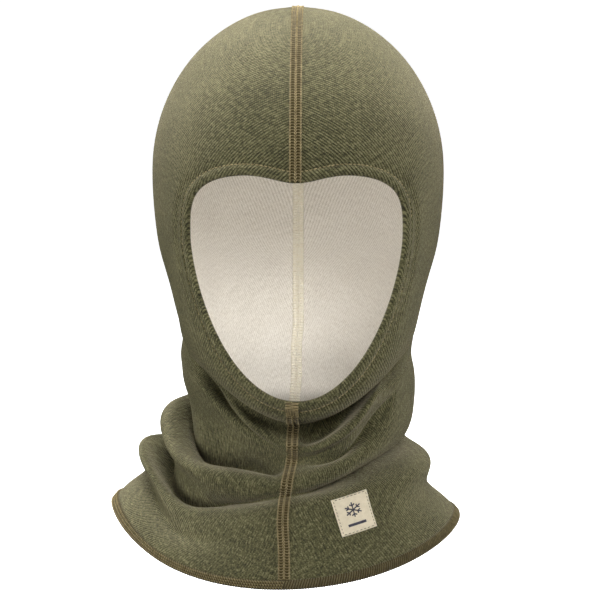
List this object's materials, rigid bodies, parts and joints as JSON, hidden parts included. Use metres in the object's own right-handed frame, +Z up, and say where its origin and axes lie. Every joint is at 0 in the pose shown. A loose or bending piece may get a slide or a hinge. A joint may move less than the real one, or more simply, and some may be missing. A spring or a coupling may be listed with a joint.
{
  "type": "balaclava",
  "caption": "Knitted wool balaclava hood with a heart-shaped face opening, folded neck and flared cape, joined down the middle by flatlock seams.",
  "frame": {"origin": "where the inside of the crown rests on the top of the head", "axes": "+Z up along the wearer's head, -Y the way the face looks, +X towards the wearer's left"},
  "size_m": [0.2015, 0.1978, 0.3183],
  "materials": {
    "outer_wool": "fine olive green wool knit, undyed light grey inside",
    "tan_thread": "matt spun thread, tan",
    "cream_thread": "matt spun thread, cream",
    "woven_label": "fine cream woven tape"
  },
  "bodies": {
    "root": {"left_panel": "outer_wool", "right_panel": "outer_wool", "crown_seam_cover_thread": "tan_thread", "crown_seam_looper_thread": "cream_thread", "throat_seam_cover_thread": "tan_thread", "throat_seam_looper_thread": "cream_thread", "face_edge_cover_thread": "tan_thread", "face_edge_looper_thread": "cream_thread", "hem_cover_thread": "tan_thread", "hem_looper_thread": "cream_thread", "chin_tack": "tan_thread", "label": "woven_label", "label_stitch": "cream_thread"}
  },
  "joints": []
}
